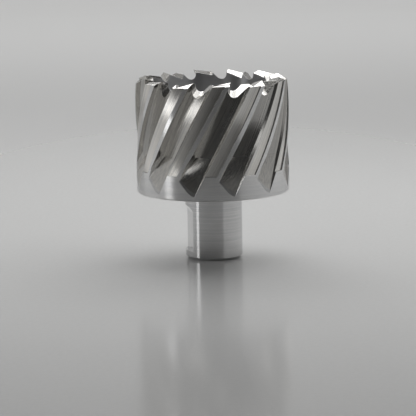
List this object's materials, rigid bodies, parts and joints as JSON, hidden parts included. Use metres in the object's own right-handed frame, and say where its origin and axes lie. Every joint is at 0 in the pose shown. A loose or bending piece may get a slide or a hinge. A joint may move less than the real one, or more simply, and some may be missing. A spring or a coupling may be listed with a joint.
{
  "type": "annular cutter",
  "caption": "Hollow broaching cutter with a helically fluted cup body, ground teeth on its rim and a straight shank with drive flats.",
  "frame": {"origin": "centre of the shank's end face, on the axis the cutter turns about", "axes": "+Z along the axis from the shank end to the teeth; +X and +Y square to it, with one drive flat facing near -X and the other near +Y"},
  "size_m": [0.0508, 0.0508, 0.0606],
  "materials": {
    "tool_steel": "ground and polished tool steel"
  },
  "bodies": {
    "root": {"annular_cutter": "tool_steel"}
  },
  "joints": []
}
